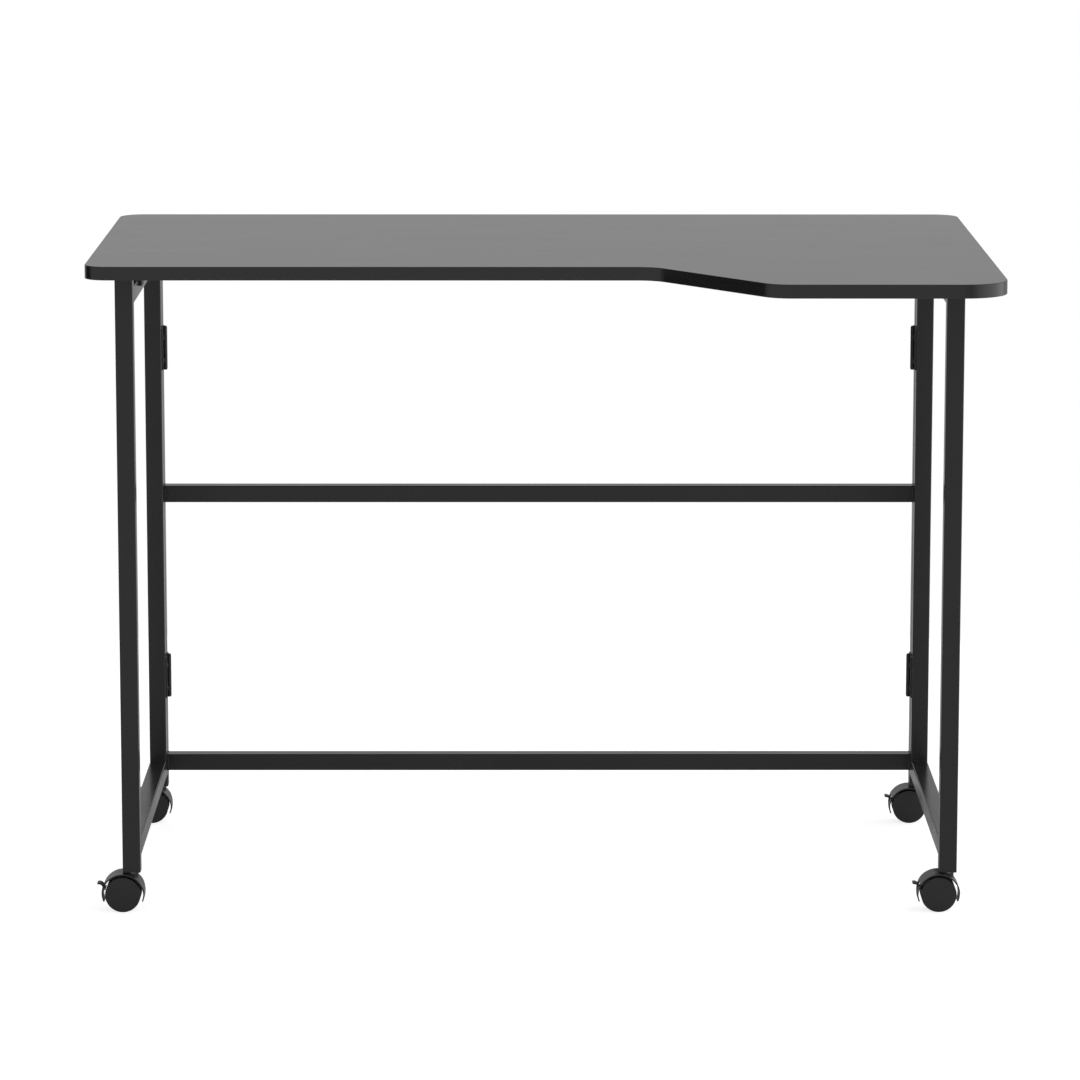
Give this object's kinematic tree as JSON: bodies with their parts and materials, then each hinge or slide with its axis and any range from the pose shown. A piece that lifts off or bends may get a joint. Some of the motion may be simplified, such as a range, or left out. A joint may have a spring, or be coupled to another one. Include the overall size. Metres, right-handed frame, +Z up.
{
  "type": "folding sewing table",
  "caption": "Craft table with a stepped board on a square-tube frame whose ends fold in on hinges, standing on braked twin-wheel casters.",
  "frame": {"origin": "on the floor under the middle of the board's bounding box", "axes": "+X along the board's width towards its deep end, +Y to the back of the table, +Z up"},
  "size_m": [1, 0.7, 0.739],
  "materials": {
    "board_face": "smooth satin black melamine on fibreboard",
    "edge_band": "satin black edge band",
    "frame_paint": "satin black powder coat on steel tube",
    "black_hardware": "black coated steel",
    "black_plastic": "moulded black plastic",
    "caster_housing": "moulded black nylon, slight sheen",
    "caster_wheel": "moulded black nylon wheel",
    "bright_steel": "zinc plated steel"
  },
  "bodies": {
    "rear_frame": {"rear_post_left": "frame_paint", "rear_post_right": "frame_paint", "bottom_crossbar": "frame_paint", "middle_crossbar": "frame_paint", "top_crossbar": "frame_paint", "rear_post_caps": "black_plastic", "rear_stem_sockets": "black_plastic", "caster_stems_rear": "bright_steel", "hinge_leaves_rear_frame_left": "black_hardware", "hinge_leaves_rear_frame_right": "black_hardware", "hinge_rivets_rear_frame": "black_hardware", "side_hinge_pins": "black_hardware", "board_hinge_leaves_crossbar": "black_hardware", "board_hinge_pins": "black_hardware"},
    "side_frame_left": {"front_post_left": "frame_paint", "side_rear_post_left": "frame_paint", "top_rail_left": "frame_paint", "bottom_rail_left": "frame_paint", "side_frame_caps_left": "black_plastic", "support_pads_left": "black_plastic", "front_stem_socket_left": "black_plastic", "caster_stem_front_left": "bright_steel", "hinge_leaves_side_frame_left": "black_hardware", "hinge_rivets_side_frame_left": "black_hardware"},
    "side_frame_right": {"front_post_right": "frame_paint", "side_rear_post_right": "frame_paint", "top_rail_right": "frame_paint", "bottom_rail_right": "frame_paint", "side_frame_caps_right": "black_plastic", "support_pads_right": "black_plastic", "front_stem_socket_right": "black_plastic", "caster_stem_front_right": "bright_steel", "hinge_leaves_side_frame_right": "black_hardware", "hinge_rivets_side_frame_right": "black_hardware"},
    "tabletop": {"board": "board_face", "edge_band": "edge_band", "board_hinge_leaves_board": "black_hardware", "board_hinge_screws": "black_hardware"},
    "caster_front_left": {"caster_hood_front_left": "caster_housing", "caster_axle_front_left": "bright_steel"},
    "wheel_front_left_outer": {"caster_wheel_front_left_outer": "caster_wheel"},
    "wheel_front_left_inner": {"caster_wheel_front_left_inner": "caster_wheel"},
    "brake_front_left": {"brake_lever_front_left": "caster_housing"},
    "caster_front_right": {"caster_hood_front_right": "caster_housing", "caster_axle_front_right": "bright_steel"},
    "wheel_front_right_outer": {"caster_wheel_front_right_outer": "caster_wheel"},
    "wheel_front_right_inner": {"caster_wheel_front_right_inner": "caster_wheel"},
    "brake_front_right": {"brake_lever_front_right": "caster_housing"},
    "caster_rear_left": {"caster_hood_rear_left": "caster_housing", "caster_axle_rear_left": "bright_steel"},
    "wheel_rear_left_outer": {"caster_wheel_rear_left_outer": "caster_wheel"},
    "wheel_rear_left_inner": {"caster_wheel_rear_left_inner": "caster_wheel"},
    "brake_rear_left": {"brake_lever_rear_left": "caster_housing"},
    "caster_rear_right": {"caster_hood_rear_right": "caster_housing", "caster_axle_rear_right": "bright_steel"},
    "wheel_rear_right_outer": {"caster_wheel_rear_right_outer": "caster_wheel"},
    "wheel_rear_right_inner": {"caster_wheel_rear_right_inner": "caster_wheel"},
    "brake_rear_right": {"brake_lever_rear_right": "caster_housing"}
  },
  "joints": [
    {"name": "fold_left", "type": "hinge", "parent": "rear_frame", "child": "side_frame_left", "pos_m": [-0.4475, 0.31125, 0.383], "axis": [0, 0, 1], "range_deg": [0, 90]},
    {"name": "fold_right", "type": "hinge", "parent": "rear_frame", "child": "side_frame_right", "pos_m": [0.4475, 0.31125, 0.383], "axis": [0, 0, -1], "range_deg": [0, 90]},
    {"name": "lift_board", "type": "hinge", "parent": "rear_frame", "child": "tabletop", "pos_m": [0, 0.3357, 0.7205], "axis": [-1, 0, 0], "range_deg": [0, 90]},
    {"name": "swivel_front_left", "type": "hinge", "parent": "side_frame_left", "child": "caster_front_left", "pos_m": [-0.4605, -0.1205, 0.045], "axis": [0, 0, 1], "continuous": true},
    {"name": "roll_front_left_outer", "type": "hinge", "parent": "caster_front_left", "child": "wheel_front_left_outer", "pos_m": [-0.4705, -0.1205, 0.02], "axis": [0, 1, 0], "continuous": true},
    {"name": "roll_front_left_inner", "type": "hinge", "parent": "caster_front_left", "child": "wheel_front_left_inner", "pos_m": [-0.4705, -0.1205, 0.02], "axis": [0, 1, 0], "continuous": true},
    {"name": "press_brake_front_left", "type": "hinge", "parent": "caster_front_left", "child": "brake_front_left", "pos_m": [-0.49269, -0.1205, 0.02678], "axis": [0, -1, 0], "range_deg": [0, 22]},
    {"name": "swivel_front_right", "type": "hinge", "parent": "side_frame_right", "child": "caster_front_right", "pos_m": [0.4605, -0.1205, 0.045], "axis": [0, 0, 1], "continuous": true},
    {"name": "roll_front_right_outer", "type": "hinge", "parent": "caster_front_right", "child": "wheel_front_right_outer", "pos_m": [0.4505, -0.1205, 0.02], "axis": [0, 1, 0], "continuous": true},
    {"name": "roll_front_right_inner", "type": "hinge", "parent": "caster_front_right", "child": "wheel_front_right_inner", "pos_m": [0.4505, -0.1205, 0.02], "axis": [0, 1, 0], "continuous": true},
    {"name": "press_brake_front_right", "type": "hinge", "parent": "caster_front_right", "child": "brake_front_right", "pos_m": [0.42831, -0.1205, 0.02678], "axis": [0, -1, 0], "range_deg": [0, 22]},
    {"name": "swivel_rear_left", "type": "hinge", "parent": "rear_frame", "child": "caster_rear_left", "pos_m": [-0.4605, 0.3225, 0.045], "axis": [0, 0, 1], "continuous": true},
    {"name": "roll_rear_left_outer", "type": "hinge", "parent": "caster_rear_left", "child": "wheel_rear_left_outer", "pos_m": [-0.4705, 0.3225, 0.02], "axis": [0, 1, 0], "continuous": true},
    {"name": "roll_rear_left_inner", "type": "hinge", "parent": "caster_rear_left", "child": "wheel_rear_left_inner", "pos_m": [-0.4705, 0.3225, 0.02], "axis": [0, 1, 0], "continuous": true},
    {"name": "press_brake_rear_left", "type": "hinge", "parent": "caster_rear_left", "child": "brake_rear_left", "pos_m": [-0.49269, 0.3225, 0.02678], "axis": [0, -1, 0], "range_deg": [0, 22]},
    {"name": "swivel_rear_right", "type": "hinge", "parent": "rear_frame", "child": "caster_rear_right", "pos_m": [0.4605, 0.3225, 0.045], "axis": [0, 0, 1], "continuous": true},
    {"name": "roll_rear_right_outer", "type": "hinge", "parent": "caster_rear_right", "child": "wheel_rear_right_outer", "pos_m": [0.4505, 0.3225, 0.02], "axis": [0, 1, 0], "continuous": true},
    {"name": "roll_rear_right_inner", "type": "hinge", "parent": "caster_rear_right", "child": "wheel_rear_right_inner", "pos_m": [0.4505, 0.3225, 0.02], "axis": [0, 1, 0], "continuous": true},
    {"name": "press_brake_rear_right", "type": "hinge", "parent": "caster_rear_right", "child": "brake_rear_right", "pos_m": [0.42831, 0.3225, 0.02678], "axis": [0, -1, 0], "range_deg": [0, 22]}
  ]
}
